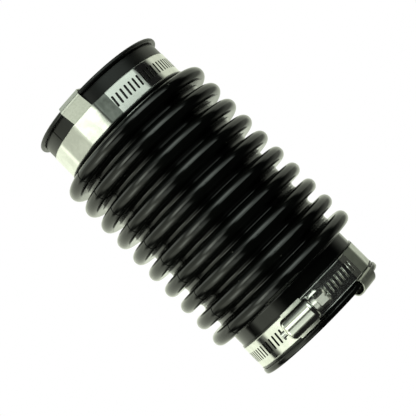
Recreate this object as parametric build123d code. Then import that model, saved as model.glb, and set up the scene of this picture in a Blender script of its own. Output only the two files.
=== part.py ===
from build123d import *
import os
from dataclasses import dataclass
from math import acos, asin, atan2, cos, degrees, radians, sin, sqrt

# Rubber bellows boot with a worm-drive clamp and a sheet-metal clip on each end.
# Millimetres. The boot's axis is Z, its lower end face lies at Z = 0, and angles round
# the axis are counted from -Y towards +X, so that angle 0 is the front of the boot.

# ---- Bellows ----
CONVOLUTION_COUNT = 10
CONVOLUTION_PITCH = 10.93
CREST_RADIUS = 44.7
CREST_WIDTH = 7.2
VALLEY_RADIUS = 36.1
BELLOWS_WALL = 2.2
ROOT_ROUNDING = 1.5

# ---- Cuffs ----
BORE_RADIUS = 29.5
CAVITY_ROUNDING = 1.0
BEAD_ROUNDING = 0.95
BEAD_FOOT_GROOVE = 0.25
BAND_LEDGE_GAP = 0.15
LEDGE_ROUNDING = 0.3
CUFF_ROUNDING = 0.8

# ---- Clamp strip ----
STRIP_WIDTH = 12.7
STRIP_THICKNESS = 0.6
LAYER_GAP = 0.05
SLOT_LENGTH = 6.0
SLOT_WIDTH = 1.15
SLOT_PITCH = 2.61
SLOT_TILT = 6.4
SLOT_COUNT = 49
SLOT_FROM_END = 2.9
TAIL_LENGTH = 37.3
TAIL_CORNER = 1.6
CAPTIVE_LENGTH = 3.2
STEP_ROUNDING = 1.0
LIFT_ROUNDING = 3.0

# ---- Clamp housing and saddle ----
HOUSING_LENGTH = 17.5
HOUSING_SHEET = 0.9
HOUSING_END_ROUNDING = 2.0
SADDLE_LENGTH = 10.8
SADDLE_TURN = -0.9
SADDLE_SHEET = 0.7
FOOT_SHEET = 0.75
LIP_REACH = 0.8

# ---- Clamp screw ----
THREAD_RADIUS = 4.4
THREAD_DEPTH = 0.9
NECK_JOURNAL_RADIUS = 2.6
NUB_RADIUS = 1.6
NUB_LENGTH = 3.6
NUB_CHAMFER = 0.8
COLLAR_RADIUS = 3.95
COLLAR_LENGTH = 2.2
UNDERCUT_LENGTH = 0.35
UNDERCUT_DEPTH = 0.6
HEAD_ACROSS_FLATS = 7.0
HEAD_LENGTH = 5.1
HEAD_CHAMFER = 0.7
HEAD_TURN = 6.0
DRIVER_SLOT_WIDTH = 1.2
DRIVER_SLOT_DEPTH = 0.9
RUNNING_CLEARANCE = 0.05
END_PLAY = 0.1
THREAD_CLEARANCE = 0.25

# ---- Rim clip ----
CLIP_WIDTH = 12.7
CLIP_SHEET = 0.6
CLIP_LEG_UNDER_BAND = 8.0
CLIP_INNER_LEG = 6.0
KNEE_ROUNDING = 0.8
CURL_SHARE = 1.2

SEAT_CLEARANCE = 0.05


@dataclass
class Cuff:
    """One end of the boot, with what is clamped on it. Angles are in degrees."""

    name: str
    length: float
    neck_radius: float
    shoulder_radius: float
    bead_radius: float
    bead_width: float
    band_place: float
    ledge_radius: float
    ledge_width: float
    ledge_slope: float
    housing_angle: float
    clip_angle: float
    hook_reach: float
    hook_chamfer: float
    hook_rounding: float

    @property
    def band_from_face(self):
        """Depth of the strip's near edge, a share of the length that the strip leaves free."""
        return self.band_place * (self.length - STRIP_WIDTH)


LOWER = Cuff(
    name="lower",
    length=24.8,
    neck_radius=35.75,
    shoulder_radius=36.6,
    bead_radius=37.2,
    bead_width=2.75,
    band_place=0.343,
    ledge_radius=36.35,
    ledge_width=0.9,
    ledge_slope=0.0,
    housing_angle=-9.1,
    clip_angle=50.0,
    hook_reach=2.75,
    hook_chamfer=2.1,
    hook_rounding=3.5,
)
UPPER = Cuff(
    name="upper",
    length=24.85,
    neck_radius=35.9,
    shoulder_radius=36.3,
    bead_radius=38.35,
    bead_width=2.1,
    band_place=0.753,
    ledge_radius=37.15,
    ledge_width=0.7,
    ledge_slope=1.2,
    housing_angle=150.3,
    clip_angle=-17.9,
    hook_reach=1.3,
    hook_chamfer=2.0,
    hook_rounding=0.5,
)

# ---- Derived sizes ----
BELLOWS_LENGTH = (CONVOLUTION_COUNT - 1) * CONVOLUTION_PITCH + CREST_WIDTH
BOOT_LENGTH = LOWER.length + BELLOWS_LENGTH + UPPER.length
LAYER_STEP = STRIP_THICKNESS + LAYER_GAP
INNER_VALLEY_RADIUS = VALLEY_RADIUS - BELLOWS_WALL
INNER_CREST_RADIUS = CREST_RADIUS - BELLOWS_WALL
HOUSING_HALF_WIDTH = THREAD_RADIUS + THREAD_CLEARANCE + HOUSING_SHEET
SIDE_WALL_INNER = STRIP_WIDTH / 2 + SEAT_CLEARANCE
SADDLE_HALF_WIDTH = SIDE_WALL_INNER + SADDLE_SHEET


def strip_inner_radius(cuff):
    """Radius of the strip's inner face where it lies on the rubber."""
    return cuff.neck_radius + SEAT_CLEARANCE


def strip_top_radius(cuff):
    """Radius of the outer face where two layers of strip lie over each other."""
    return strip_inner_radius(cuff) + LAYER_STEP + STRIP_THICKNESS


def foot_radius(cuff):
    """Underside of the housing's feet, just above the upper layer of strip."""
    return strip_top_radius(cuff) + 2 * SEAT_CLEARANCE


def screw_axis_radius(cuff):
    """Height of the screw's axis, where its thread just clears the strip."""
    return strip_top_radius(cuff) + SEAT_CLEARANCE + THREAD_RADIUS


def axial(cuff, depth):
    """Z of a point at this depth in from the cuff's own end face."""
    return depth if cuff is LOWER else BOOT_LENGTH - depth


def band_centre(cuff):
    """Z of the middle of the clamp strip."""
    return axial(cuff, cuff.band_from_face + STRIP_WIDTH / 2)


# ---- Boot ----
def cuff_outline(cuff):
    """Outer corners of a cuff from its end face to the bellows, as (radius, depth, rounding)."""
    shoulder_start = cuff.bead_width + BEAD_FOOT_GROOVE
    shoulder_end = cuff.band_from_face - SEAT_CLEARANCE
    ledge_start = cuff.band_from_face + STRIP_WIDTH + BAND_LEDGE_GAP
    ledge_end = ledge_start + cuff.ledge_width
    return [
        (cuff.bead_radius, 0, BEAD_ROUNDING),
        (cuff.bead_radius, cuff.bead_width, CUFF_ROUNDING),
        (cuff.neck_radius, cuff.bead_width, 0),
        (cuff.neck_radius, shoulder_start, 0),
        (cuff.shoulder_radius, shoulder_start, LEDGE_ROUNDING),
        (cuff.shoulder_radius, shoulder_end, LEDGE_ROUNDING),
        (cuff.neck_radius, shoulder_end, 0),
        (cuff.neck_radius, ledge_start, 0),
        (cuff.ledge_radius, ledge_start, LEDGE_ROUNDING),
        (cuff.ledge_radius, ledge_end, LEDGE_ROUNDING),
        (cuff.neck_radius, ledge_end + cuff.ledge_slope, 0),
        (cuff.neck_radius, cuff.length, CUFF_ROUNDING),
    ]


def bellows_outline(crest_radius, valley_radius, width, crest_rounding, root_rounding):
    """Corners of the convolutions from bottom to top, as (radius, z, rounding)."""
    corners = []
    for index in range(CONVOLUTION_COUNT):
        centre = LOWER.length + CREST_WIDTH / 2 + index * CONVOLUTION_PITCH
        if index:
            corners.append((valley_radius, centre - width / 2, root_rounding))
        corners.append((crest_radius, centre - width / 2, crest_rounding))
        corners.append((crest_radius, centre + width / 2, crest_rounding))
        if index < CONVOLUTION_COUNT - 1:
            corners.append((valley_radius, centre + width / 2, root_rounding))
    return corners


def boot_section():
    """Closed outline of the rubber wall in the plane of radius and Z."""
    almost_round = 0.49
    outer = [(r, axial(LOWER, d), f) for r, d, f in cuff_outline(LOWER)]
    outer += bellows_outline(
        CREST_RADIUS, VALLEY_RADIUS, CREST_WIDTH, almost_round * CREST_WIDTH, ROOT_ROUNDING
    )
    outer += [(r, axial(UPPER, d), f) for r, d, f in reversed(cuff_outline(UPPER))]

    cavity_width = CREST_WIDTH - 2 * BELLOWS_WALL
    cavity = bellows_outline(
        INNER_CREST_RADIUS,
        INNER_VALLEY_RADIUS,
        cavity_width,
        almost_round * cavity_width,
        ROOT_ROUNDING + BELLOWS_WALL / 2,
    )
    first_cavity = LOWER.length + BELLOWS_WALL
    last_cavity = BOOT_LENGTH - UPPER.length - BELLOWS_WALL
    inner = [
        (BORE_RADIUS, 0, 0),
        (BORE_RADIUS, first_cavity, CAVITY_ROUNDING),
        *cavity,
        (BORE_RADIUS, last_cavity, CAVITY_ROUNDING),
        (BORE_RADIUS, BOOT_LENGTH, 0),
    ]
    return outer + inner[::-1]


def make_boot():
    """The moulded boot, pressed in where the clamp saddles and the clips bear on it."""
    corners = boot_section()
    with BuildPart() as boot:
        with BuildSketch(Plane.XZ):
            with BuildLine():
                FilletPolyline(
                    [(radius, z) for radius, z, _ in corners],
                    radius=[rounding for _, _, rounding in corners],
                    close=True,
                )
            make_face()
        revolve(axis=Axis.Z)
    solid = boot.part
    for cuff in (LOWER, UPPER):
        solid -= saddle_dent(cuff)
        solid -= clip_dent(cuff)
    return solid


# ---- Sectors round the boot's axis ----
def sector(rectangles, half_length, at_radius):
    """Rectangles (r0, r1, z0, z1) swept round the axis, centred on angle 0."""
    half_angle = degrees(asin(half_length / at_radius))
    with BuildPart() as swept:
        with BuildSketch(Plane.XZ):
            for r0, r1, z0, z1 in rectangles:
                with Locations(((r0 + r1) / 2, (z0 + z1) / 2)):
                    Rectangle(r1 - r0, z1 - z0)
        revolve(axis=Axis.Z, revolution_arc=2 * half_angle)
    return Rot(Z=-90 - half_angle) * swept.part


def on_clamp(cuff, shape):
    """Move a shape made at angle 0 and Z = 0 to the cuff's clamp."""
    return Pos(Z=band_centre(cuff)) * Rot(Z=cuff.housing_angle) * shape


def at_saddle(shape):
    """Move a shape from the middle of the housing to the middle of the saddle."""
    return Rot(Z=SADDLE_TURN) * shape


def saddle_dent(cuff):
    """Room in the rubber under the saddle's floor."""
    r0 = cuff.neck_radius - SADDLE_SHEET - SEAT_CLEARANCE
    r1 = strip_top_radius(cuff)
    half = SADDLE_HALF_WIDTH + SEAT_CLEARANCE
    room = sector([(r0, r1, -half, half)], SADDLE_LENGTH / 2 + SEAT_CLEARANCE, r0)
    return on_clamp(cuff, at_saddle(room))


# ---- Clamp strip ----
@dataclass
class Bend:
    """An arc of the strip's inner face, between two directions of its outward normal."""

    centre: Vector
    radius: float
    start: float
    end: float

    def at(self, angle, offset=0.0):
        return self.centre + outward(angle) * (self.radius + offset)


def outward(angle):
    """Unit vector in the XY plane, at an angle counted from -Y towards +X."""
    return Vector(sin(radians(angle)), -cos(radians(angle)))


def lift_corners(cuff):
    """Centres of the two bends where the strip rides over the clip's edges."""
    clip = cuff.clip_angle - cuff.housing_angle
    normal = outward(clip)
    along = outward(clip + 90)
    height = strip_inner_radius(cuff) + CLIP_SHEET + SEAT_CLEARANCE - LIFT_ROUNDING
    half = CLIP_WIDTH / 2
    return normal * height - along * half, normal * height + along * half


def strip_bends(cuff):
    """The strip's inner face from its captive end, once round and on to its tail."""
    origin = Vector(0, 0)
    inner = strip_inner_radius(cuff)
    upper = inner + LAYER_STEP
    captive = -degrees(CAPTIVE_LENGTH / inner)
    clip = (cuff.clip_angle - cuff.housing_angle) % 360
    first, second = lift_corners(cuff)
    corner_angle = degrees(atan2(CLIP_WIDTH / 2, first.dot(outward(clip))))
    lift = corner_angle + degrees(acos((inner - LIFT_ROUNDING) / first.length))
    climb = degrees(acos((inner - STEP_ROUNDING) / (upper - STEP_ROUNDING)))
    step_centre = outward(captive) * (upper - STEP_ROUNDING)
    bends = [
        Bend(origin, inner, captive, clip - lift),
        Bend(first, LIFT_ROUNDING, clip - lift, clip),
        Bend(second, LIFT_ROUNDING, clip, clip + lift),
        Bend(origin, inner, clip + lift, captive + 360 - climb),
        Bend(step_centre, STEP_ROUNDING, captive + 360 - climb, captive + 360),
    ]
    tail_angle = degrees(TAIL_LENGTH / upper)
    if tail_angle < clip - lift:
        bends.append(Bend(origin, upper, captive + 360, tail_angle + 360))
        return bends, 0.0
    over = LIFT_ROUNDING + LAYER_STEP
    bends.append(Bend(origin, upper, captive + 360, clip - lift + 360))
    bends.append(Bend(first, over, clip - lift + 360, clip + 360))
    flat_run = TAIL_LENGTH - path_length(bends[5:], 0.0) + CAPTIVE_LENGTH
    return bends, max(flat_run, 1.0)


def path_pieces(bends, flat_run):
    """The path as (length, point function, normal function), arcs and straight runs in turn."""
    pieces = []
    for index, bend in enumerate(bends):
        arc_length = radians(bend.end - bend.start) * bend.radius
        pieces.append((arc_length, bend, None))
        if index + 1 < len(bends):
            start = bend.at(bend.end)
            run = bends[index + 1].at(bends[index + 1].start) - start
            if run.length > 1e-4:
                pieces.append((run.length, bend, run))
    if flat_run:
        pieces.append((flat_run, bends[-1], outward(bends[-1].end + 90) * flat_run))
    return pieces


def path_length(bends, flat_run):
    return sum(length for length, _, _ in path_pieces(bends, flat_run))


def path_station(bends, flat_run, distance):
    """Point on the strip's inner face, and its normal's angle, this far along the path."""
    *pieces, last_piece = path_pieces(bends, flat_run)
    for length, bend, run in pieces:
        if distance <= length:
            break
        distance -= length
    else:
        length, bend, run = last_piece
    if run is None:
        angle = bend.start + degrees(distance / bend.radius)
        return bend.at(angle), angle
    return bend.at(bend.end) + run * (distance / length), bend.end


def strip_face_edges(bends, flat_run, offset):
    """Edges of the path, moved outwards by an offset."""
    edges = []
    for index, bend in enumerate(bends):
        radius = bend.radius + offset
        with BuildLine() as arc:
            CenterArc(bend.centre, radius, bend.start - 90, bend.end - bend.start)
        edges += arc.edges()
        if index + 1 < len(bends):
            following = bends[index + 1]
            start = bend.at(bend.end, offset)
            end = following.at(following.start, offset)
            if (end - start).length > 1e-4:
                edges.append(Edge.make_line(start, end))
    if flat_run:
        start = bends[-1].at(bends[-1].end, offset)
        end = start + outward(bends[-1].end + 90) * flat_run
        edges.append(Edge.make_line(start, end))
    return edges


def strip_plane(point, angle):
    """Plane on the strip: x along the boot's axis, z out of the strip."""
    return Plane(origin=point, x_dir=(0, 0, 1), z_dir=outward(angle))


def make_strip(cuff):
    """Steel strip, wound once round the cuff and on through the housing."""
    bends, flat_run = strip_bends(cuff)
    total = path_length(bends, flat_run)
    inner_edges = strip_face_edges(bends, flat_run, 0.0)
    outer_edges = strip_face_edges(bends, flat_run, STRIP_THICKNESS)
    first, last = bends[0], bends[-1]
    end_shift = outward(last.end + 90) * flat_run
    closing = [
        Edge.make_line(first.at(first.start), first.at(first.start, STRIP_THICKNESS)),
        Edge.make_line(
            last.at(last.end) + end_shift,
            last.at(last.end, STRIP_THICKNESS) + end_shift,
        ),
    ]
    outline = Wire(inner_edges + outer_edges + closing)
    strip = extrude(Face(outline), amount=STRIP_WIDTH / 2, both=True)

    through = STRIP_THICKNESS + 4 * LAYER_GAP
    tools = []
    for index in range(SLOT_COUNT):
        distance = total - SLOT_FROM_END - index * SLOT_PITCH
        plane = strip_plane(*path_station(bends, flat_run, distance))
        sketch = plane * SlotOverall(SLOT_LENGTH, SLOT_WIDTH, rotation=-SLOT_TILT)
        tools.append(Pos(plane.z_dir * (-LAYER_GAP / 2)) * extrude(sketch, amount=through))
    tail_plane = strip_plane(*path_station(bends, flat_run, total))
    for side in (-1, 1):
        corner = Polygon(
            (side * STRIP_WIDTH / 2, -TAIL_CORNER / 2),
            (side * STRIP_WIDTH / 2, TAIL_CORNER),
            (side * (STRIP_WIDTH / 2 - 1.5 * TAIL_CORNER), -TAIL_CORNER / 2),
            align=None,
        )
        cut = extrude(tail_plane * corner, amount=through)
        tools.append(Pos(tail_plane.z_dir * (-LAYER_GAP / 2)) * cut)
    return on_clamp(cuff, strip - tools)


# ---- Clamp housing, saddle and screw ----
def make_saddle(cuff):
    """Tray under the strip, its sides folded up and in over the housing's feet."""
    floor = cuff.neck_radius - SADDLE_SHEET
    lip = foot_radius(cuff) + FOOT_SHEET + SEAT_CLEARANCE
    top = lip + SADDLE_SHEET
    lip_edge = SADDLE_HALF_WIDTH - SADDLE_SHEET - LIP_REACH
    rectangles = [(floor, cuff.neck_radius, -SADDLE_HALF_WIDTH, SADDLE_HALF_WIDTH)]
    for side in (-1, 1):
        wall = sorted((side * SIDE_WALL_INNER, side * SADDLE_HALF_WIDTH))
        fold = sorted((side * lip_edge, side * SADDLE_HALF_WIDTH))
        rectangles.append((floor, top, *wall))
        rectangles.append((lip, top, *fold))
    return on_clamp(cuff, at_saddle(sector(rectangles, SADDLE_LENGTH / 2, cuff.neck_radius)))


def arch_sketch(plane, half_width, screw_radius, base_radius):
    """Arch round the screw: a half circle on straight sides."""
    sides = plane * Pos(Y=(base_radius - screw_radius) / 2) * Rectangle(
        2 * half_width, screw_radius - base_radius
    )
    return sides + plane * Circle(half_width)


def make_housing(cuff):
    """Stamped cover over the screw, with a foot along each side and a wall at each end."""
    screw_radius = screw_axis_radius(cuff)
    foot = foot_radius(cuff)
    base = sqrt(foot**2 - (HOUSING_LENGTH / 2) ** 2) - HOUSING_SHEET
    start = Plane(
        origin=(-HOUSING_LENGTH / 2, -screw_radius, 0), x_dir=(0, 0, 1), z_dir=(1, 0, 0)
    )
    cover = extrude(
        arch_sketch(start, HOUSING_HALF_WIDTH, screw_radius, base), amount=HOUSING_LENGTH
    )
    end_edges = [
        edge
        for edge in cover.edges()
        if abs(abs(edge.center().X) - HOUSING_LENGTH / 2) < 1e-3
        and edge.center().Y < -base - HOUSING_SHEET
    ]
    cover = fillet(end_edges, HOUSING_END_ROUNDING)
    hollow = extrude(
        arch_sketch(
            start.offset(HOUSING_SHEET), HOUSING_HALF_WIDTH - HOUSING_SHEET, screw_radius, base
        ),
        amount=HOUSING_LENGTH - 2 * HOUSING_SHEET,
    )
    cover -= hollow
    cover -= extrude(start * Circle(NUB_RADIUS + RUNNING_CLEARANCE), amount=2 * HOUSING_SHEET)
    head_end = start.offset(HOUSING_LENGTH - 2 * HOUSING_SHEET)
    journal_hole = Circle(NECK_JOURNAL_RADIUS + RUNNING_CLEARANCE)
    cover -= extrude(head_end * journal_hole, amount=3 * HOUSING_SHEET)
    root = HOUSING_HALF_WIDTH - HOUSING_SHEET / 2
    edge = SIDE_WALL_INNER - SEAT_CLEARANCE
    feet = [
        (base, foot + FOOT_SHEET, *sorted((side * root, side * edge))) for side in (-1, 1)
    ]
    cover += at_saddle(sector(feet, SADDLE_LENGTH / 2, foot))
    cover -= extrude(Circle(foot), amount=2 * HOUSING_HALF_WIDTH, both=True)
    return on_clamp(cuff, cover)


def make_screw(cuff):
    """Screw with a hexagon head, a collar, a neck in the end wall and a nub at the tip."""
    screw_radius = screw_axis_radius(cuff)
    inside = HOUSING_LENGTH / 2 - HOUSING_SHEET - END_PLAY
    outside = HOUSING_LENGTH / 2 + END_PLAY
    core = THREAD_RADIUS - THREAD_DEPTH
    nub_tip = -HOUSING_LENGTH / 2 - NUB_LENGTH
    collar_end = outside + COLLAR_LENGTH
    head_start = collar_end + UNDERCUT_LENGTH
    undercut = HEAD_ACROSS_FLATS / 2 - UNDERCUT_DEPTH
    shaft = Polyline(
        (nub_tip, 0),
        (nub_tip, NUB_RADIUS - NUB_CHAMFER),
        (nub_tip + NUB_CHAMFER, NUB_RADIUS),
        (-inside, NUB_RADIUS),
        (-inside, core),
        (inside, core),
        (inside, NECK_JOURNAL_RADIUS),
        (outside, NECK_JOURNAL_RADIUS),
        (outside, COLLAR_RADIUS),
        (collar_end, COLLAR_RADIUS),
        (collar_end, undercut),
        (head_start, undercut),
        (head_start, 0),
        close=True,
    )
    screw = revolve(make_face(shaft), axis=Axis.X)
    head_plane = Plane(origin=(head_start, 0, 0), x_dir=(0, 0, 1), z_dir=(1, 0, 0))
    hexagon = RegularPolygon(HEAD_ACROSS_FLATS / 2, 6, major_radius=False)
    head = extrude(head_plane * hexagon.rotate(Axis.Z, HEAD_TURN), amount=HEAD_LENGTH)
    corner = HEAD_ACROSS_FLATS / sqrt(3)
    head_end = head_start + HEAD_LENGTH
    turned = Polyline(
        (head_start, 0),
        (head_start, corner),
        (head_end - HEAD_CHAMFER, corner),
        (head_end, corner - 1.6 * HEAD_CHAMFER),
        (head_end, 0),
        close=True,
    )
    head &= revolve(make_face(turned), axis=Axis.X)
    driver = Pos(X=head_end) * Box(2 * DRIVER_SLOT_DEPTH, HEAD_ACROSS_FLATS * 2, DRIVER_SLOT_WIDTH)
    screw = screw + (head - driver)
    return on_clamp(cuff, Pos(Y=-screw_radius) * screw)


# ---- Rim clip ----
def clip_profile(cuff):
    """Face of the clip towards the rubber, as (radius, depth, rounding) corners."""
    leg = strip_inner_radius(cuff)
    over_bead = cuff.bead_radius + SEAT_CLEARANCE
    in_bore = BORE_RADIUS + SEAT_CLEARANCE + CLIP_SHEET
    gap = cuff.hook_reach - CLIP_SHEET
    return [
        (leg, cuff.band_from_face + CLIP_LEG_UNDER_BAND, 0),
        (leg, cuff.band_from_face - 0.6 * CLIP_SHEET, KNEE_ROUNDING),
        (over_bead, cuff.bead_width, KNEE_ROUNDING),
        (over_bead, cuff.hook_chamfer - gap, cuff.hook_rounding),
        (over_bead - cuff.hook_chamfer, -gap, cuff.hook_rounding),
        (in_bore, -gap, CURL_SHARE * gap),
        (in_bore, CLIP_INNER_LEG, 0),
    ]


def at_clip(cuff, shape):
    """Move a shape made at angle 0 to the clip's angle."""
    return Rot(Z=cuff.clip_angle) * shape


def make_clip(cuff):
    """Clip bent from flat strip: over the end bead, into the bore, and under the band."""
    corners = clip_profile(cuff)
    path = FilletPolyline(
        [(0, -radius, axial(cuff, depth)) for radius, depth, _ in corners],
        radius=[rounding for _, _, rounding in corners[1:-1]],
    )
    outline = Wire(path.edges()).offset_2d(
        CLIP_SHEET, kind=Kind.INTERSECTION, side=Side.RIGHT
    )
    return at_clip(cuff, extrude(Face(outline), amount=CLIP_WIDTH / 2, both=True))


def hook_dent(cuff):
    """Room in the bead's edge for the slanting face of the clip's hook."""
    over_bead = cuff.bead_radius + SEAT_CLEARANCE
    gap = cuff.hook_reach - CLIP_SHEET
    slant = cuff.hook_chamfer + sqrt(2) * SEAT_CLEARANCE
    corner = Face(
        Wire.make_polygon(
            [
                (0, -over_bead, axial(cuff, slant - gap)),
                (0, slant - over_bead, axial(cuff, -gap)),
                (0, -over_bead, axial(cuff, -gap)),
            ]
        )
    )
    half = CLIP_WIDTH / 2 + SEAT_CLEARANCE
    return at_clip(cuff, extrude(corner, amount=half, dir=(1, 0, 0), both=True))


def clip_dent(cuff):
    """Room in the rubber for the clip: its hook, its leg on the shoulder and that in the bore."""
    bore_outer = BORE_RADIUS + 2 * SEAT_CLEARANCE + CLIP_SHEET
    pockets = [
        (BORE_RADIUS - CLIP_WIDTH / 4, bore_outer, -cuff.hook_reach, CLIP_INNER_LEG),
        (cuff.neck_radius, cuff.bead_radius, cuff.bead_width, cuff.band_from_face),
    ]
    dents = [
        at_clip(
            cuff,
            Pos(0, -(inner + outer) / 2, axial(cuff, (near + far + SEAT_CLEARANCE) / 2))
            * Box(CLIP_WIDTH + 2 * SEAT_CLEARANCE, outer - inner, far + SEAT_CLEARANCE - near),
        )
        for inner, outer, near, far in pockets
    ]
    return dents + [hook_dent(cuff)]


def make_parts():
    parts = {"bellows_boot": make_boot()}
    for cuff in (UPPER, LOWER):
        parts[f"{cuff.name}_clamp_band"] = make_strip(cuff)
        parts[f"{cuff.name}_clamp_saddle"] = make_saddle(cuff)
        parts[f"{cuff.name}_clamp_housing"] = make_housing(cuff)
        parts[f"{cuff.name}_clamp_screw"] = make_screw(cuff)
        parts[f"{cuff.name}_rim_clip"] = make_clip(cuff)
    return parts


os.makedirs("parts", exist_ok=True)
for node, shape in make_parts().items():
    export_step(shape, f"parts/{node}.step")
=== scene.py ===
from math import atan2, ceil, cos, degrees, hypot, pi, radians, sin

import bmesh
import bpy
from mathutils import Matrix, Vector
from mathutils.bvhtree import BVHTree


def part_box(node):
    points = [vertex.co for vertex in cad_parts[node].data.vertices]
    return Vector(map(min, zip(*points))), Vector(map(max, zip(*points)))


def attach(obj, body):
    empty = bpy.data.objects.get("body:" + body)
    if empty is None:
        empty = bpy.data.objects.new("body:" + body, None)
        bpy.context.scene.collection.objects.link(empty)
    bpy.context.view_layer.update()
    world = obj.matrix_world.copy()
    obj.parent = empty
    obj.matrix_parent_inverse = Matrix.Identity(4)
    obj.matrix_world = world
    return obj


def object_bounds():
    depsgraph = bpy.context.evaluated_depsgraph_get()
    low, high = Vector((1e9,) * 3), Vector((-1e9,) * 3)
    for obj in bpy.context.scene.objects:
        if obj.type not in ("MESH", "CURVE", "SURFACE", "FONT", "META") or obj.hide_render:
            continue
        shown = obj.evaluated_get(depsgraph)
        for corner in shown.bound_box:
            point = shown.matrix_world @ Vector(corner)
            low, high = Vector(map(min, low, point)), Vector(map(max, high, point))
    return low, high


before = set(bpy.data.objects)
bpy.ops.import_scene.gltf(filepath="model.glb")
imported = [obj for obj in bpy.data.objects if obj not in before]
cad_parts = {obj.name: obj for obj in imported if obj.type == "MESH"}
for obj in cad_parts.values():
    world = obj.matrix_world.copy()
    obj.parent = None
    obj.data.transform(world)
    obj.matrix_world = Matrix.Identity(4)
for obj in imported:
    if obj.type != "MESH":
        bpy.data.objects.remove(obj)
cad_box = [list(corner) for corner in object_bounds()]


# ---- Bellows boot ----
# One moulding in black rubber: ten round convolutions between two cuffs with a rolled bead
# at each mouth. It comes from a two-part mould that was polished on the outside, so it is
# satin, with a faint cloudiness and a little dust.
def effect_group(name, inputs, outputs):
    """A shader node group with these sockets, its input node and its output node."""
    group = bpy.data.node_groups.new(name, "ShaderNodeTree")
    for label, kind, value in inputs:
        socket = group.interface.new_socket(label, in_out="INPUT", socket_type=kind)
        if value is not None:
            socket.default_value = value
    for label, kind in outputs:
        group.interface.new_socket(label, in_out="OUTPUT", socket_type=kind)
    entry = group.nodes.new("NodeGroupInput")
    leave = group.nodes.new("NodeGroupOutput")
    return group, entry, leave


def put(tree, kind, settings=None, values=None, links=None):
    """A node in the tree, with its settings, fixed input values and incoming links."""
    node = tree.nodes.new(kind)
    for key, value in (settings or {}).items():
        setattr(node, key, value)
    for socket, value in (values or {}).items():
        node.inputs[socket].default_value = value
    for socket, source in (links or {}).items():
        tree.links.new(source, node.inputs[socket])
    return node


def maths(tree, operation, first, second=0.0):
    """A maths node whose two inputs are sockets or numbers; returns its output."""
    node = tree.nodes.new("ShaderNodeMath")
    node.operation = operation
    for index, value in enumerate((first, second)):
        if isinstance(value, (int, float)):
            node.inputs[index].default_value = value
        else:
            tree.links.new(value, node.inputs[index])
    return node.outputs[0]


def soft_step(tree, value, start, end, full=1.0):
    """A value that climbs smoothly from 0 at the start to full at the end."""
    return put(
        tree,
        "ShaderNodeMapRange",
        {"interpolation_type": "SMOOTHSTEP"},
        {"From Min": start, "From Max": end, "To Max": full},
        {"Value": value},
    ).outputs["Result"]


def between(tree, share, low, high):
    """A value that runs from low to high as the share runs from 0 to 1."""
    return put(
        tree,
        "ShaderNodeMapRange",
        values={"To Min": low, "To Max": high},
        links={"Value": share},
    ).outputs["Result"]


def noise(tree, place, **values):
    """The strength of a noise pattern at a place; the values carry the node's own names."""
    node = put(tree, "ShaderNodeTexNoise", values=values, links={"Vector": place})
    return node.outputs["Fac"]


CLOUD_EDGES = (0.32, 0.68)


def cloudy_shade_group():
    """Two tones that drift into each other, as on a surface that many hands have touched."""
    group, entry, leave = effect_group(
        "cloudy_shade",
        [
            ("Place", "NodeSocketVector", None),
            ("Size per metre", "NodeSocketFloat", 60.0),
            ("Dark tone", "NodeSocketColor", (0, 0, 0, 1)),
            ("Light tone", "NodeSocketColor", (1, 1, 1, 1)),
        ],
        [("Tone", "NodeSocketColor"), ("Cloud", "NodeSocketFloat")],
    )
    drift = put(
        group,
        "ShaderNodeTexNoise",
        values={"Detail": 5.0, "Roughness": 0.6, "Distortion": 0.4},
        links={"Vector": entry.outputs["Place"], "Scale": entry.outputs["Size per metre"]},
    )
    cloud = soft_step(group, drift.outputs["Fac"], *CLOUD_EDGES)
    blend = put(
        group,
        "ShaderNodeMix",
        {"data_type": "RGBA"},
        links={
            "Factor": cloud,
            "A": entry.outputs["Dark tone"],
            "B": entry.outputs["Light tone"],
        },
    )
    group.links.new(blend.outputs["Result"], leave.inputs["Tone"])
    group.links.new(cloud, leave.inputs["Cloud"])
    return group


def fine_specks_group():
    """Small round specks of dust or pitting, scattered at random and not all alike."""
    group, entry, leave = effect_group(
        "fine_specks",
        [
            ("Place", "NodeSocketVector", None),
            ("Specks per metre", "NodeSocketFloat", 700.0),
            ("Share", "NodeSocketFloat", 0.1),
            ("Radius", "NodeSocketFloat", 0.25),
        ],
        [("Speck", "NodeSocketFloat")],
    )
    cells = put(
        group,
        "ShaderNodeTexVoronoi",
        links={"Vector": entry.outputs["Place"], "Scale": entry.outputs["Specks per metre"]},
    )
    tint = put(group, "ShaderNodeSeparateColor", links={0: cells.outputs["Color"]})
    chosen = maths(group, "LESS_THAN", tint.outputs[0], entry.outputs["Share"])
    reach = maths(group, "MULTIPLY", tint.outputs[1], entry.outputs["Radius"])
    near = maths(group, "LESS_THAN", cells.outputs["Distance"], reach)
    group.links.new(maths(group, "MULTIPLY", chosen, near), leave.inputs["Speck"])
    return group


CLOUDY_SHADE = cloudy_shade_group()
FINE_SPECKS = fine_specks_group()


def new_material(name):
    material = bpy.data.materials.new(name)
    material.use_nodes = True
    tree = material.node_tree
    shader = next(node for node in tree.nodes if node.type == "BSDF_PRINCIPLED")
    return material, tree, shader


def object_place(tree):
    return put(tree, "ShaderNodeTexCoord").outputs["Object"]


def shade(tree, place, per_metre, dark, light):
    """The tone and the cloud of a cloudy shade between two colours."""
    node = put(
        tree,
        "ShaderNodeGroup",
        {"node_tree": CLOUDY_SHADE},
        {"Size per metre": per_metre, "Dark tone": (*dark, 1), "Light tone": (*light, 1)},
        {"Place": place},
    )
    return node.outputs["Tone"], node.outputs["Cloud"]


def specks(tree, place, per_metre, share, radius):
    """A mask of fine specks; the share and the radius are fractions of their spacing."""
    return put(
        tree,
        "ShaderNodeGroup",
        {"node_tree": FINE_SPECKS},
        {"Specks per metre": per_metre, "Share": share, "Radius": radius},
        {"Place": place},
    ).outputs["Speck"]


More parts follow.
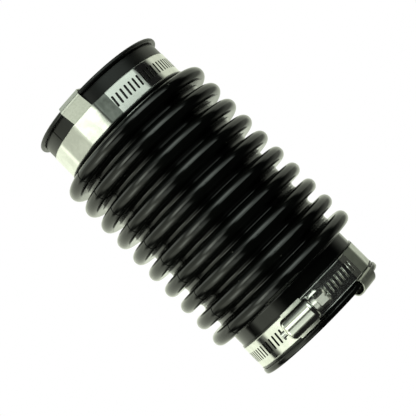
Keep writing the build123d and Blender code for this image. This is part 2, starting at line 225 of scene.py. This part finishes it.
def laid_over(tree, under, mask, colour):
    """A colour that covers the tone under it where the mask is 1."""
    return put(
        tree,
        "ShaderNodeMix",
        {"data_type": "RGBA"},
        {"B": (*colour, 1)},
        {"Factor": mask, "A": under},
    ).outputs["Result"]


def add_bump(tree, shader, height, distance, strength, normal=None):
    """Raise the surface by a height, in metres at full height, on top of an earlier normal."""
    links = {"Height": height}
    if normal is not None:
        links["Normal"] = normal
    bump = put(
        tree, "ShaderNodeBump", values={"Strength": strength, "Distance": distance}, links=links
    )
    tree.links.new(bump.outputs["Normal"], shader.inputs["Normal"])
    return bump.outputs["Normal"]


def dress(node, material):
    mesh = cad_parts[node].data
    mesh.materials.clear()
    mesh.materials.append(material)


RUBBER_DARK = (0.0012, 0.0014, 0.0012)
RUBBER_LIGHT = (0.0030, 0.0034, 0.0029)
DUST = (0.075, 0.075, 0.066)
RUBBER_ROUGHNESS = (0.09, 0.15)
RUBBER_IOR = 1.5
UPPER_CUFF_FROM = 0.134
UPPER_CUFF_FULL = 0.142
UPPER_CUFF_DULLNESS = 0.2


def rubber_material():
    material, tree, shader = new_material("moulded_rubber")
    place = object_place(tree)
    tone, cloud = shade(tree, place, per_metre=85.0, dark=RUBBER_DARK, light=RUBBER_LIGHT)
    dust = specks(tree, place, per_metre=420.0, share=0.045, radius=0.17)
    tree.links.new(laid_over(tree, tone, dust, DUST), shader.inputs["Base Color"])
    parts = put(tree, "ShaderNodeSeparateXYZ", links={0: place})
    dulled = soft_step(
        tree, parts.outputs["Z"], UPPER_CUFF_FROM, UPPER_CUFF_FULL, UPPER_CUFF_DULLNESS
    )
    roughness = maths(tree, "ADD", between(tree, cloud, *RUBBER_ROUGHNESS), dulled)
    tree.links.new(roughness, shader.inputs["Roughness"])
    shader.inputs["IOR"].default_value = RUBBER_IOR
    swirl = noise(tree, place, Scale=160.0, Detail=3.0, Roughness=0.55)
    grain = noise(tree, place, Scale=2600.0, Detail=2.0)
    normal = add_bump(tree, shader, swirl, distance=0.00005, strength=0.2)
    add_bump(tree, shader, grain, distance=0.00001, strength=0.6, normal=normal)
    return material


dress("bellows_boot", rubber_material())


# ---- Mould flash ----
# The thread of rubber squeezed out where the two halves of the mould met, down each side of
# the boot. It is part of the moulding, and is torn off, which leaves it rough, so that it
# looks darker than the polished rubber beside it.
PARTING_ANGLES = {"front_mould_flash": -48.0, "back_mould_flash": 132.0}
FLASH_HEIGHT = 0.00025
FLASH_HALF_WIDTH = 0.00028
FLASH_SINK = 0.00006
FLASH_STEP = 0.0004
FLASH_TAPER_STEPS = 3
FEELER_START = 0.1
MOUTH_MARGIN = 0.0012
BAND_MARGIN = 0.0003
TORN_DARK = (0.0010, 0.0012, 0.0010)
TORN_LIGHT = (0.0050, 0.0056, 0.0048)
TORN_ROUGHNESS = 0.75
TORN_IOR = 1.3


def torn_material():
    material, tree, shader = new_material("torn_rubber")
    place = object_place(tree)
    tone, cloud = shade(tree, place, per_metre=900.0, dark=TORN_DARK, light=TORN_LIGHT)
    tree.links.new(tone, shader.inputs["Base Color"])
    shader.inputs["Roughness"].default_value = TORN_ROUGHNESS
    shader.inputs["IOR"].default_value = TORN_IOR
    add_bump(tree, shader, cloud, distance=0.00006, strength=0.8)
    return material


def new_piece(name, mesh, material, body):
    piece = bpy.data.objects.new(name, mesh)
    bpy.context.scene.collection.objects.link(piece)
    mesh.materials.append(material)
    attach(piece, body)
    return piece


def mesh_from_bmesh(name, built):
    bmesh.ops.recalc_face_normals(built, faces=built.faces)
    mesh = bpy.data.meshes.new(name)
    built.to_mesh(mesh)
    built.free()
    return mesh


def skin(built, rings, smooth=False):
    """Faces that join rings of vertices, each to the next, and close both ends."""
    for first, second in zip(rings, rings[1:]):
        for corner in range(len(first)):
            following = (corner + 1) % len(first)
            face = built.faces.new(
                (first[corner], first[following], second[following], second[corner])
            )
            face.smooth = smooth
    built.faces.new(rings[0])
    built.faces.new(rings[-1])


def outward(angle):
    """Direction away from the boot's axis at an angle in degrees from the front."""
    return Vector((sin(radians(angle)), -cos(radians(angle)), 0))


def rubber_surface():
    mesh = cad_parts["bellows_boot"].data
    return BVHTree.FromPolygons(
        [vertex.co for vertex in mesh.vertices], [face.vertices for face in mesh.polygons]
    )


def outline_between(surface, angle, low, high):
    """Points (radius, z) down the outside of the rubber, found by feeling in from outside."""
    steps = ceil((high - low) / FLASH_STEP)
    points = []
    for step in range(steps + 1):
        z = low + (high - low) * step / steps
        start = outward(angle) * FEELER_START + Vector((0, 0, z))
        hit = surface.ray_cast(start, -outward(angle))[0]
        points.append((hypot(hit.x, hit.y), z))
    return points


def raise_flash(built, points, angle):
    """A three-sided ridge that follows the points and tapers out at both ends."""
    side = Vector((0, 0, 1)).cross(outward(angle))
    rings = []
    for index, (radius, z) in enumerate(points):
        before = points[max(index - 1, 0)]
        after = points[min(index + 1, len(points) - 1)]
        along = Vector((after[0] - before[0], after[1] - before[1])).normalized()
        normal = outward(angle) * along.y + Vector((0, 0, -along.x))
        steps_from_end = min(index, len(points) - 1 - index)
        height = FLASH_HEIGHT * min(1.0, steps_from_end / FLASH_TAPER_STEPS)
        centre = outward(angle) * radius + Vector((0, 0, z))
        rings.append(
            [
                built.verts.new(centre - normal * FLASH_SINK - side * FLASH_HALF_WIDTH),
                built.verts.new(centre + normal * height),
                built.verts.new(centre - normal * FLASH_SINK + side * FLASH_HALF_WIDTH),
            ]
        )
    skin(built, rings)


TORN_RUBBER = torn_material()
boot_low, boot_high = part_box("bellows_boot")
lower_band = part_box("lower_clamp_band")
upper_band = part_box("upper_clamp_band")
bare_stretches = (
    (boot_low[2] + MOUTH_MARGIN, lower_band[0][2] - BAND_MARGIN),
    (lower_band[1][2] + BAND_MARGIN, upper_band[0][2] - BAND_MARGIN),
    (upper_band[1][2] + BAND_MARGIN, boot_high[2] - MOUTH_MARGIN),
)
rubber_tree = rubber_surface()
for flash_name, parting in PARTING_ANGLES.items():
    ridge = bmesh.new()
    for low, high in bare_stretches:
        raise_flash(ridge, outline_between(rubber_tree, parting, low, high), parting)
    new_piece(flash_name, mesh_from_bmesh(flash_name, ridge), TORN_RUBBER, "boot")


# ---- Clamp strips ----
# Each clamp is a stainless strip 12.7 mm wide with slots punched across it, wrapped round
# the neck and screwed up. Cold rolling leaves fine lines along the strip, which stretch its
# reflections across it, and shearing leaves its two edges bright.
ENDS = ("lower", "upper")
STRIP_DARK = (0.77, 0.78, 0.74)
STRIP_LIGHT = (0.92, 0.93, 0.89)
STRIP_ROUGHNESS = (0.10, 0.135)
STREAK_BRIGHTNESS = (0.94, 1.06)
LINE_CHANGES_PER_RADIAN = 3.0


def rolled_lines_group():
    """Lines that run round the boot's axis, close together from one edge to the other."""
    group, entry, leave = effect_group(
        "rolled_lines",
        [
            ("Place", "NodeSocketVector", None),
            ("Lines per metre", "NodeSocketFloat", 4000.0),
        ],
        [("Line", "NodeSocketFloat")],
    )
    parts = put(group, "ShaderNodeSeparateXYZ", links={0: entry.outputs["Place"]})
    turn = maths(group, "ARCTAN2", parts.outputs["X"], parts.outputs["Y"])
    lines = maths(group, "MULTIPLY", parts.outputs["Z"], entry.outputs["Lines per metre"])
    stretched = put(
        group,
        "ShaderNodeCombineXYZ",
        links={"X": maths(group, "MULTIPLY", turn, LINE_CHANGES_PER_RADIAN), "Y": lines},
    )
    line = noise(group, stretched.outputs["Vector"], Scale=1.0, Detail=3.0, Roughness=0.7)
    group.links.new(line, leave.inputs["Line"])
    return group


ROLLED_LINES = rolled_lines_group()

# Two stretches of strip get a dark colour, a painted dark reflection of the room, and a
# rougher finish: where the upper one runs straight from its last slot to the clip, and where
# the lower one is pulled over its clip. Each is given by its start and end round the boot in
# degrees, how softly it starts, whether it is the upper one, and its colour.
PAINTED_DARK_STRETCHES = (
    (-12.5, 4.3, 8.0, True, (0.15, 0.16, 0.145)),
    (49.5, 95.0, 0.6, False, (0.36, 0.38, 0.34)),
)
DARK_STRETCH_ROUGHNESS = 0.28
BETWEEN_STRIPS = 0.08
DEGREES_PER_RADIAN = 180 / pi


def angle_round(tree, parts):
    """Angle in degrees round the boot's axis, from the front towards +X."""
    front = maths(tree, "MULTIPLY", parts.outputs["Y"], -1.0)
    turned = maths(tree, "ARCTAN2", parts.outputs["X"], front)
    return maths(tree, "MULTIPLY", turned, DEGREES_PER_RADIAN)


def painted_dark_stretch(tree, place, start_angle, end_angle, fade, is_upper):
    """A mottled mask of one stretch of painted dark reflection."""
    parts = put(tree, "ShaderNodeSeparateXYZ", links={0: place})
    angle = angle_round(tree, parts)
    wander = noise(tree, place, Scale=260.0, Detail=4.0)
    drift = maths(tree, "MULTIPLY", maths(tree, "SUBTRACT", wander, 0.5), fade)
    drifted = maths(tree, "ADD", angle, drift)
    started = soft_step(tree, drifted, start_angle, start_angle + fade)
    not_ended = maths(tree, "LESS_THAN", angle, end_angle)
    which = "GREATER_THAN" if is_upper else "LESS_THAN"
    on_this_strip = maths(tree, which, parts.outputs["Z"], BETWEEN_STRIPS)
    inside = maths(tree, "MULTIPLY", started, not_ended)
    inside = maths(tree, "MULTIPLY", inside, on_this_strip)
    mottle = put(
        tree,
        "ShaderNodeMapRange",
        values={"From Min": 0.3, "From Max": 0.7, "To Min": 1.0, "To Max": 0.8},
        links={"Value": wander},
    )
    return maths(tree, "MULTIPLY", inside, mottle.outputs["Result"])


# The rims of a strip, in from its cut edges, are rolled over in shearing and catch the light.
SHEARED_RIM = 0.0004
RIM_ROUGHNESS = 0.4


def strip_middle(end):
    """Height of the middle of a strip and half its width, in metres."""
    low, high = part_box(end + "_clamp_band")
    return (low[2] + high[2]) / 2, (high[2] - low[2]) / 2


def off_middle(tree, parts, middle):
    return maths(tree, "ABSOLUTE", maths(tree, "SUBTRACT", parts.outputs["Z"], middle))


def sheared_rim(tree, place):
    """A mask of both strips' rims."""
    parts = put(tree, "ShaderNodeSeparateXYZ", links={0: place})
    total = 0.0
    for end in ENDS:
        middle, half = strip_middle(end)
        away = off_middle(tree, parts, middle)
        rim = soft_step(tree, away, half - SHEARED_RIM, half - SHEARED_RIM / 2)
        on_this_strip = maths(tree, "LESS_THAN", away, half * 2)
        total = maths(tree, "ADD", total, maths(tree, "MULTIPLY", rim, on_this_strip))
    return total


# The walls inside the slots are painted dark, as painted shade in these recesses, and made rougher.
SLOT_HALF_LENGTH = 0.0033
WALL_LIMIT = 0.6
PAINTED_SLOT_SHADE = (0.10, 0.10, 0.09)
WALL_ROUGHNESS = 0.4


def slot_walls(tree, place):
    """A mask of the surfaces inside the slots, which face along the strip and not outward."""
    parts = put(tree, "ShaderNodeSeparateXYZ", links={0: place})
    flat = put(
        tree,
        "ShaderNodeCombineXYZ",
        links={"X": parts.outputs["X"], "Y": parts.outputs["Y"]},
    )
    out = put(tree, "ShaderNodeVectorMath", {"operation": "NORMALIZE"}, links={0: flat.outputs[0]})
    normal = put(tree, "ShaderNodeTexCoord").outputs["Normal"]
    facing = put(
        tree,
        "ShaderNodeVectorMath",
        {"operation": "DOT_PRODUCT"},
        links={0: out.outputs[0], 1: normal},
    )
    outward_share = maths(tree, "ABSOLUTE", facing.outputs["Value"])
    sideways = maths(tree, "LESS_THAN", outward_share, WALL_LIMIT)
    total = 0.0
    for end in ENDS:
        away = off_middle(tree, parts, strip_middle(end)[0])
        total = maths(tree, "ADD", total, maths(tree, "LESS_THAN", away, SLOT_HALF_LENGTH))
    return maths(tree, "MULTIPLY", sideways, total)


def new_steel(name):
    """A new material that is bare metal all over."""
    material, tree, shader = new_material(name)
    shader.inputs["Metallic"].default_value = 1.0
    return material, tree, shader


def stretch_reflections(tree, shader):
    """Blur reflections across the strip, square to the lines that run round the boot."""
    shader.inputs["Anisotropic"].default_value = 0.8
    shader.inputs["Anisotropic Rotation"].default_value = 0.25
    tangent = put(tree, "ShaderNodeTangent", {"direction_type": "RADIAL", "axis": "Z"})
    tree.links.new(tangent.outputs["Tangent"], shader.inputs["Tangent"])


def strip_material():
    material, tree, shader = new_steel("rolled_strip_steel")
    place = object_place(tree)
    tone, cloud = shade(tree, place, per_metre=150.0, dark=STRIP_DARK, light=STRIP_LIGHT)
    lines = put(
        tree, "ShaderNodeGroup", {"node_tree": ROLLED_LINES}, links={"Place": place}
    )
    streaked = put(
        tree,
        "ShaderNodeVectorMath",
        {"operation": "SCALE"},
        links={0: tone, "Scale": between(tree, lines.outputs["Line"], *STREAK_BRIGHTNESS)},
    )
    finish = streaked.outputs[0]
    roughness = between(tree, cloud, *STRIP_ROUGHNESS)
    covers = [(sheared_rim(tree, place), None, RIM_ROUGHNESS)]
    # Painted dark reflection: the dark stretches' colour is laid over the tone.
    for *stretch, colour in PAINTED_DARK_STRETCHES:
        covers.append((painted_dark_stretch(tree, place, *stretch), colour, DARK_STRETCH_ROUGHNESS))
    # Painted shade: the slot walls are laid over dark.
    covers.append((slot_walls(tree, place), PAINTED_SLOT_SHADE, WALL_ROUGHNESS))
    for mask, colour, more in covers:
        if colour:
            finish = laid_over(tree, finish, mask, colour)
        roughness = maths(tree, "ADD", roughness, maths(tree, "MULTIPLY", mask, more))
    tree.links.new(finish, shader.inputs["Base Color"])
    tree.links.new(roughness, shader.inputs["Roughness"])
    stretch_reflections(tree, shader)
    add_bump(tree, shader, lines.outputs["Line"], distance=0.000004, strength=0.5)
    return material


STRIP_STEEL = strip_material()
for end in ENDS:
    dress(end + "_clamp_band", STRIP_STEEL)


# ---- Slot burrs ----
# The slots of each strip's tail have been run through by the worm, which has turned up a
# bright rounded burr of the strip's own steel along the far side of each.
CLAMP_ANGLES = {"lower": -9.1, "upper": 150.3}
TAIL_FROM = 12.0
TAIL_TO = 62.0
BURR_RADIUS = 0.0002
BURR_SIDES = 12
BURR_DARK = (0.74, 0.75, 0.69)
BURR_LIGHT = (0.95, 0.96, 0.90)
BURR_ROUGHNESS = 0.3
WELD_DISTANCE = 1e-6
ACROSS_THE_STRIP = 0.9
FACING_OUT = 0.85
FACING_BACK = 0.8


def past_the_screw(point, end):
    """Angle in degrees from the clamp's screw round to the point."""
    across = outward(CLAMP_ANGLES[end])
    along = Vector((0, 0, 1)).cross(across)
    return degrees(atan2(point.dot(along), point.dot(across)))


def far_side_of_slot(edge, middle):
    """Whether an edge of the strip's mesh is a slot's outer edge that is far from the screw."""
    if len(edge.link_faces) != 2:
        return False
    centre = (edge.verts[0].co + edge.verts[1].co) / 2
    if abs(centre.z - middle) > SLOT_HALF_LENGTH or edge.calc_length() > 2 * SLOT_HALF_LENGTH:
        return False
    out = Vector((centre.x, centre.y, 0)).normalized()
    back = out.cross(Vector((0, 0, 1)))
    wall, face = sorted(edge.link_faces, key=lambda side: side.normal.dot(out))
    rise = abs(edge.verts[0].co.z - edge.verts[1].co.z)
    lies_across = rise > ACROSS_THE_STRIP * edge.calc_length()
    return lies_across and face.normal.dot(out) > FACING_OUT and wall.normal.dot(back) > FACING_BACK


def burr_mesh(name, end):
    """A short round bar along the far edge of each slot in the tail, sunk by half its radius."""
    strip = bmesh.new()
    strip.from_mesh(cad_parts[end + "_clamp_band"].data)
    bmesh.ops.remove_doubles(strip, verts=strip.verts, dist=WELD_DISTANCE)
    middle = strip_middle(end)[0]
    built = bmesh.new()
    for edge in strip.edges:
        first, second = (vertex.co for vertex in edge.verts)
        if not far_side_of_slot(edge, middle):
            continue
        if not TAIL_FROM < past_the_screw(first, end) < TAIL_TO:
            continue
        along = (second - first).normalized()
        up = Vector((first.x, first.y, 0)).normalized()
        side = along.cross(up).normalized()
        up = side.cross(along)
        rings = []
        for tip in (first, second):
            ring = []
            for corner in range(BURR_SIDES):
                turn = 2 * pi * corner / BURR_SIDES
                around = side * cos(turn) + up * sin(turn)
                ring.append(built.verts.new(tip - up * BURR_RADIUS / 2 + around * BURR_RADIUS))
            rings.append(ring)
        skin(built, rings, smooth=True)
    strip.free()
    return mesh_from_bmesh(name, built)


def burr_material():
    material, tree, shader = new_steel("burred_steel")
    place = object_place(tree)
    tone = shade(tree, place, per_metre=1200.0, dark=BURR_DARK, light=BURR_LIGHT)[0]
    tree.links.new(tone, shader.inputs["Base Color"])
    shader.inputs["Roughness"].default_value = BURR_ROUGHNESS
    return material


BURRED_STEEL = burr_material()
for end in ENDS:
    burr_name = end + "_slot_burrs"
    new_piece(burr_name, burr_mesh(burr_name, end), BURRED_STEEL, "boot")


# ---- Clamp housings ----
# Each is pressed from bright stainless sheet as a short tunnel over the screw, and its feet
# stand on the strip. Pressing draws the sheet lengthwise and leaves light scuffs and small
# pits.
PRESSED_DARK = (0.86, 0.87, 0.80)
PRESSED_LIGHT = (0.94, 0.95, 0.88)
PRESSED_ROUGHNESS = (0.13, 0.20)
PIT_COLOUR = (0.30, 0.31, 0.26)
DRAWN_OUT = (0.04, 1.0, 1.0)


def drawn_lines_group():
    """Scuffs drawn out along the clamp screw's own direction."""
    group, entry, leave = effect_group(
        "drawn_lines",
        [
            ("Place", "NodeSocketVector", None),
            ("Clamp angle", "NodeSocketFloat", 0.0),
            ("Lines per metre", "NodeSocketFloat", 2500.0),
        ],
        [("Line", "NodeSocketFloat")],
    )
    turned = put(
        group,
        "ShaderNodeVectorRotate",
        {"rotation_type": "Z_AXIS"},
        links={"Vector": entry.outputs["Place"], "Angle": entry.outputs["Clamp angle"]},
    )
    stretched = put(
        group,
        "ShaderNodeVectorMath",
        {"operation": "MULTIPLY"},
        {1: DRAWN_OUT},
        {0: turned.outputs["Vector"]},
    )
    scuffs = put(
        group,
        "ShaderNodeTexNoise",
        values={"Detail": 4.0, "Roughness": 0.65},
        links={"Vector": stretched.outputs[0], "Scale": entry.outputs["Lines per metre"]},
    )
    group.links.new(scuffs.outputs["Fac"], leave.inputs["Line"])
    return group


DRAWN_LINES = drawn_lines_group()


def pressed_material(end):
    material, tree, shader = new_steel(end + "_pressed_steel")
    place = object_place(tree)
    tone, cloud = shade(tree, place, per_metre=330.0, dark=PRESSED_DARK, light=PRESSED_LIGHT)
    pits = specks(tree, place, per_metre=900.0, share=0.06, radius=0.2)
    tree.links.new(laid_over(tree, tone, pits, PIT_COLOUR), shader.inputs["Base Color"])
    tree.links.new(between(tree, cloud, *PRESSED_ROUGHNESS), shader.inputs["Roughness"])
    lines = put(
        tree,
        "ShaderNodeGroup",
        {"node_tree": DRAWN_LINES},
        {"Clamp angle": -radians(CLAMP_ANGLES[end])},
        {"Place": place},
    )
    add_bump(tree, shader, lines.outputs["Line"], distance=0.00001, strength=0.5)
    return material


for end in ENDS:
    dress(end + "_clamp_housing", pressed_material(end))


# ---- Clamp saddles ----
# Each is a tray of stainless sheet under the strip, whose edges are folded up over the feet
# of the housing and grip them. The folds are tumbled to an even satin.
SADDLE_DARK = (0.84, 0.85, 0.80)
SADDLE_LIGHT = (0.96, 0.97, 0.92)
SADDLE_ROUGHNESS = (0.46, 0.54)


def folded_material():
    material, tree, shader = new_steel("folded_saddle_steel")
    place = object_place(tree)
    tone, cloud = shade(tree, place, per_metre=500.0, dark=SADDLE_DARK, light=SADDLE_LIGHT)
    tree.links.new(tone, shader.inputs["Base Color"])
    tree.links.new(between(tree, cloud, *SADDLE_ROUGHNESS), shader.inputs["Roughness"])
    stretch_reflections(tree, shader)
    add_bump(tree, shader, cloud, distance=0.000006, strength=0.4)
    return material


FOLDED_STEEL = folded_material()
for end in ENDS:
    dress(end + "_clamp_saddle", FOLDED_STEEL)


# ---- Clamp screws ----
# Each screw is turned from bar: a hexagon head with a driver slot, a collar, a neck that
# runs in the housing's end wall and a core with a worm thread, whose pitch is that of the
# slots it pulls along. The thread is a helix of its own here and turns with the screw.
WORM_CORE_RADIUS = 0.00345
WORM_CREST_RADIUS = 0.00431
WORM_PITCH = 0.00261
WORM_HALF_LENGTH = 0.0071
WORM_FOOT_HALF_WIDTH = 0.00078
WORM_CREST_HALF_WIDTH = 0.0003
WORM_SINK = 0.0001
WORM_STEPS_PER_TURN = 40
WORM_RUNOUT_STEPS = 12
WORM_LEAST_SHARE = 0.02
WORM_AXIS_RADIUS = {"lower": 0.0415, "upper": 0.04165}
SCREW_DARK = (0.86, 0.87, 0.82)
SCREW_LIGHT = (0.95, 0.96, 0.91)
SCREW_ROUGHNESS = (0.26, 0.36)


def screw_material():
    material, tree, shader = new_steel("turned_screw_steel")
    place = object_place(tree)
    tone, cloud = shade(tree, place, per_metre=420.0, dark=SCREW_DARK, light=SCREW_LIGHT)
    tree.links.new(tone, shader.inputs["Base Color"])
    tree.links.new(between(tree, cloud, *SCREW_ROUGHNESS), shader.inputs["Roughness"])
    marks = noise(tree, place, Scale=2200.0, Detail=3.0)
    add_bump(tree, shader, marks, distance=0.000008, strength=0.5)
    return material


def worm_mesh(name, end):
    """A closed ridge wound round the screw's core, running out to nothing at both ends."""
    angle = CLAMP_ANGLES[end]
    axis = Vector((cos(radians(angle)), sin(radians(angle)), 0))
    across = outward(angle)
    centre = across * WORM_AXIS_RADIUS[end] + Vector((0, 0, strip_middle(end)[0]))
    turns = 2 * WORM_HALF_LENGTH / WORM_PITCH
    steps = ceil(turns * WORM_STEPS_PER_TURN)
    built = bmesh.new()
    rings = []
    for step in range(steps + 1):
        spin = 2 * pi * turns * step / steps
        along = WORM_HALF_LENGTH * (2 * step / steps - 1)
        grown = min(1.0, step / WORM_RUNOUT_STEPS, (steps - step) / WORM_RUNOUT_STEPS)
        height = (WORM_CREST_RADIUS - WORM_CORE_RADIUS) * max(grown, WORM_LEAST_SHARE)
        crest = WORM_CORE_RADIUS + height
        foot = WORM_CORE_RADIUS - WORM_SINK
        out = across * cos(spin) + Vector((0, 0, 1)) * sin(spin)
        corners = (
            (foot, -WORM_FOOT_HALF_WIDTH),
            (crest, -WORM_CREST_HALF_WIDTH),
            (crest, WORM_CREST_HALF_WIDTH),
            (foot, WORM_FOOT_HALF_WIDTH),
        )
        rings.append(
            [
                built.verts.new(centre + axis * (along + shift) + out * radius)
                for radius, shift in corners
            ]
        )
    skin(built, rings)
    return mesh_from_bmesh(name, built)


SCREW_STEEL = screw_material()
for end in ENDS:
    dress(end + "_clamp_screw", SCREW_STEEL)
    worm_name = end + "_worm_thread"
    new_piece(worm_name, worm_mesh(worm_name, end), SCREW_STEEL, end + "_screw")


# ---- Rim clips ----
# A piece of sheared sheet bent over each mouth: one leg is trapped under the strip, and the
# other is curled into the bore. It is duller than the strip, with a fine mottle all over.
CLIP_DARK = (0.44, 0.45, 0.41)
CLIP_LIGHT = (0.54, 0.55, 0.51)
MOTTLE = (0.36, 0.37, 0.33)
CLIP_ROUGHNESS = (0.30, 0.42)


def clip_material():
    material, tree, shader = new_steel("sheared_clip_steel")
    place = object_place(tree)
    tone, cloud = shade(tree, place, per_metre=900.0, dark=CLIP_DARK, light=CLIP_LIGHT)
    mottled = specks(tree, place, per_metre=1500.0, share=0.12, radius=0.3)
    tree.links.new(laid_over(tree, tone, mottled, MOTTLE), shader.inputs["Base Color"])
    tree.links.new(between(tree, cloud, *CLIP_ROUGHNESS), shader.inputs["Roughness"])
    add_bump(tree, shader, cloud, distance=0.00001, strength=0.5)
    return material


CLIP_STEEL = clip_material()
for end in ENDS:
    dress(end + "_rim_clip", CLIP_STEEL)


# ---- Floor ----
# A plain white floor just under the lower mouth. It shows only from above and to the camera,
# so that it neither lights the part from below nor hides it from a low view.
FLOOR_HALF_WIDTH = 3.0
FLOOR_GAP = 0.004
WHITE = (1, 1, 1, 1)


def floor_material():
    material = bpy.data.materials.new("white_floor")
    material.use_nodes = True
    tree = material.node_tree
    tree.nodes.clear()
    leave = tree.nodes.new("ShaderNodeOutputMaterial")
    path = tree.nodes.new("ShaderNodeLightPath")
    facing = tree.nodes.new("ShaderNodeNewGeometry")
    front = maths(tree, "SUBTRACT", 1.0, facing.outputs["Backfacing"])
    shown = maths(tree, "MULTIPLY", path.outputs["Is Camera Ray"], front)
    clear = tree.nodes.new("ShaderNodeBsdfTransparent")
    white = put(tree, "ShaderNodeEmission", values={"Color": WHITE, "Strength": 1.0})
    mix = put(
        tree,
        "ShaderNodeMixShader",
        links={0: shown, 1: clear.outputs[0], 2: white.outputs[0]},
    )
    tree.links.new(mix.outputs[0], leave.inputs["Surface"])
    return material


floor_level = cad_box[0][2] - FLOOR_GAP
floor_mesh = bpy.data.meshes.new("floor")
floor_mesh.from_pydata(
    [
        (x * FLOOR_HALF_WIDTH, y * FLOOR_HALF_WIDTH, floor_level)
        for x, y in ((-1, -1), (1, -1), (1, 1), (-1, 1))
    ],
    [],
    [(0, 1, 2, 3)],
)
floor = bpy.data.objects.new("floor", floor_mesh)
floor_mesh.materials.append(floor_material())
bpy.context.scene.collection.objects.link(floor)


# ---- Studio light ----
# Large soft panels all round in an otherwise dark room, with a white sheet behind. Each fills
# directions given in degrees, round from the front and up from level, in this order: name,
# from, to, softness, bottom, top, softness, brightness, colour.
WARM = (0.94, 1.0, 0.82)
PALE = (0.92, 1.0, 0.88)
COOL = (0.88, 1.0, 0.90)
PANELS = (
    ("white_sheet_left", -215, -106, 4, -34, 42, 8, 1.05, WARM),
    ("high_sheet_left", -215, -110, 8, 42, 86, 6, 1.0, PALE),
    ("white_sheet_right", 150, 215, 9, -38, 46, 10, 0.85, WARM),
    ("right_fill", 103, 150, 8, 3, 46, 4, 0.72, WARM),
    ("right_fill_low", 116, 150, 20, -40, 3, 4, 0.4, WARM),
    ("low_left_spread", -88, -30, 10, -60, 3, 10, 0.5, WARM),
    ("low_left_panel", -85, -40, 5, -44, 3, 6, 0.65, WARM),
    ("low_left_core", -66, -46, 6, -32, -10, 5, 1.9, PALE),
    ("low_front_panel", -36, -16, 6, -54, -8, 3, 0.85, PALE),
    ("left_fill", -110, -22, 8, 3, 44, 5, 0.62, WARM),
    ("left_middle_panel", -64, -34, 8, 0, 13, 4, 0.2, PALE),
    ("left_panel", -44, -11, 10, 12, 36, 4, 1.5, PALE),
    ("left_panel_core", -41, -26, 6, 14, 34, 4, 1.4, PALE),
    ("high_left_fill", -110, -3, 8, 45, 60, 6, 0.5, PALE),
    ("high_left_core", -112, -70, 10, 44, 62, 6, 1.0, PALE),
    ("front_panel", 11, 68, 3, 9, 27, 4, 1.15, COOL),
    ("top_panel", 6, 44, 12, 27, 57, 5, 1.7, COOL),
    ("top_panel_skirt", -4, 66, 20, 25, 57, 6, 0.85, COOL),
    ("top_fill", -60, 70, 20, 57, 80, 10, 0.2, COOL),
)
ROOM = (0.01, 0.01, 0.01)


def studio_world():
    world = bpy.data.worlds.new("studio")
    world.use_nodes = True
    tree = world.node_tree
    tree.nodes.clear()
    leave = tree.nodes.new("ShaderNodeOutputWorld")
    path = tree.nodes.new("ShaderNodeLightPath")
    direction = tree.nodes.new("ShaderNodeTexCoord").outputs["Generated"]
    parts = put(tree, "ShaderNodeSeparateXYZ", links={0: direction})
    round_angle = angle_round(tree, parts)
    rise = maths(tree, "ARCSINE", parts.outputs["Z"])
    height = maths(tree, "MULTIPLY", rise, DEGREES_PER_RADIAN)
    total = put(tree, "ShaderNodeVectorMath", values={0: ROOM}).outputs[0]
    for label, start, end, soft, bottom, top, soft_up, brightness, colour in PANELS:
        inside = 1.0
        for angle, edge, blur in (
            (round_angle, start, soft),
            (round_angle, end, -soft),
            (height, bottom, soft_up),
            (height, top, -soft_up),
        ):
            window = soft_step(tree, angle, edge - blur, edge + blur)
            inside = maths(tree, "MULTIPLY", inside, window)
        glow = put(
            tree,
            "ShaderNodeVectorMath",
            {"operation": "SCALE", "label": label},
            {0: tuple(brightness * part for part in colour)},
            {"Scale": inside},
        )
        total = put(tree, "ShaderNodeVectorMath", links={0: total, 1: glow.outputs[0]}).outputs[0]
    lit = put(tree, "ShaderNodeBackground", links={"Color": total})
    seen = put(tree, "ShaderNodeBackground", values={"Color": WHITE})
    mix = put(
        tree,
        "ShaderNodeMixShader",
        links={0: path.outputs["Is Camera Ray"], 1: lit.outputs[0], 2: seen.outputs[0]},
    )
    tree.links.new(mix.outputs[0], leave.inputs["Surface"])
    return world


bpy.context.scene.world = studio_world()
bpy.context.scene.view_settings.view_transform = "Standard"


# ---- Camera ----
# It stands in front of the boot, level with the lower third, tilts up a little and is rolled
# over, so that the upright boot lies slantwise in the view.
CAMERA_PLACE = (-0.00089, -0.5386, 0.0467)
CAMERA_TILT = 3.24
CAMERA_ROLL = 45.02
CAMERA_LENS = 95.75
SENSOR_WIDTH = 36.0
NEAREST_SEEN = 0.01

camera_data = bpy.data.cameras.new("camera")
camera_data.sensor_width = SENSOR_WIDTH
camera_data.lens = CAMERA_LENS
camera_data.clip_start = NEAREST_SEEN
camera = bpy.data.objects.new("camera", camera_data)
bpy.context.scene.collection.objects.link(camera)
tilt = radians(CAMERA_TILT)
roll = radians(CAMERA_ROLL)
forward = Vector((0, cos(tilt), sin(tilt)))
level_up = Vector((1, 0, 0))
level_right = forward.cross(level_up)
camera_right = cos(roll) * level_right + sin(roll) * level_up
camera_up = -sin(roll) * level_right + cos(roll) * level_up
turn = Matrix((camera_right, camera_up, -forward)).transposed()
camera.matrix_world = Matrix.Translation(Vector(CAMERA_PLACE)) @ turn.to_4x4()
bpy.context.scene.camera = camera
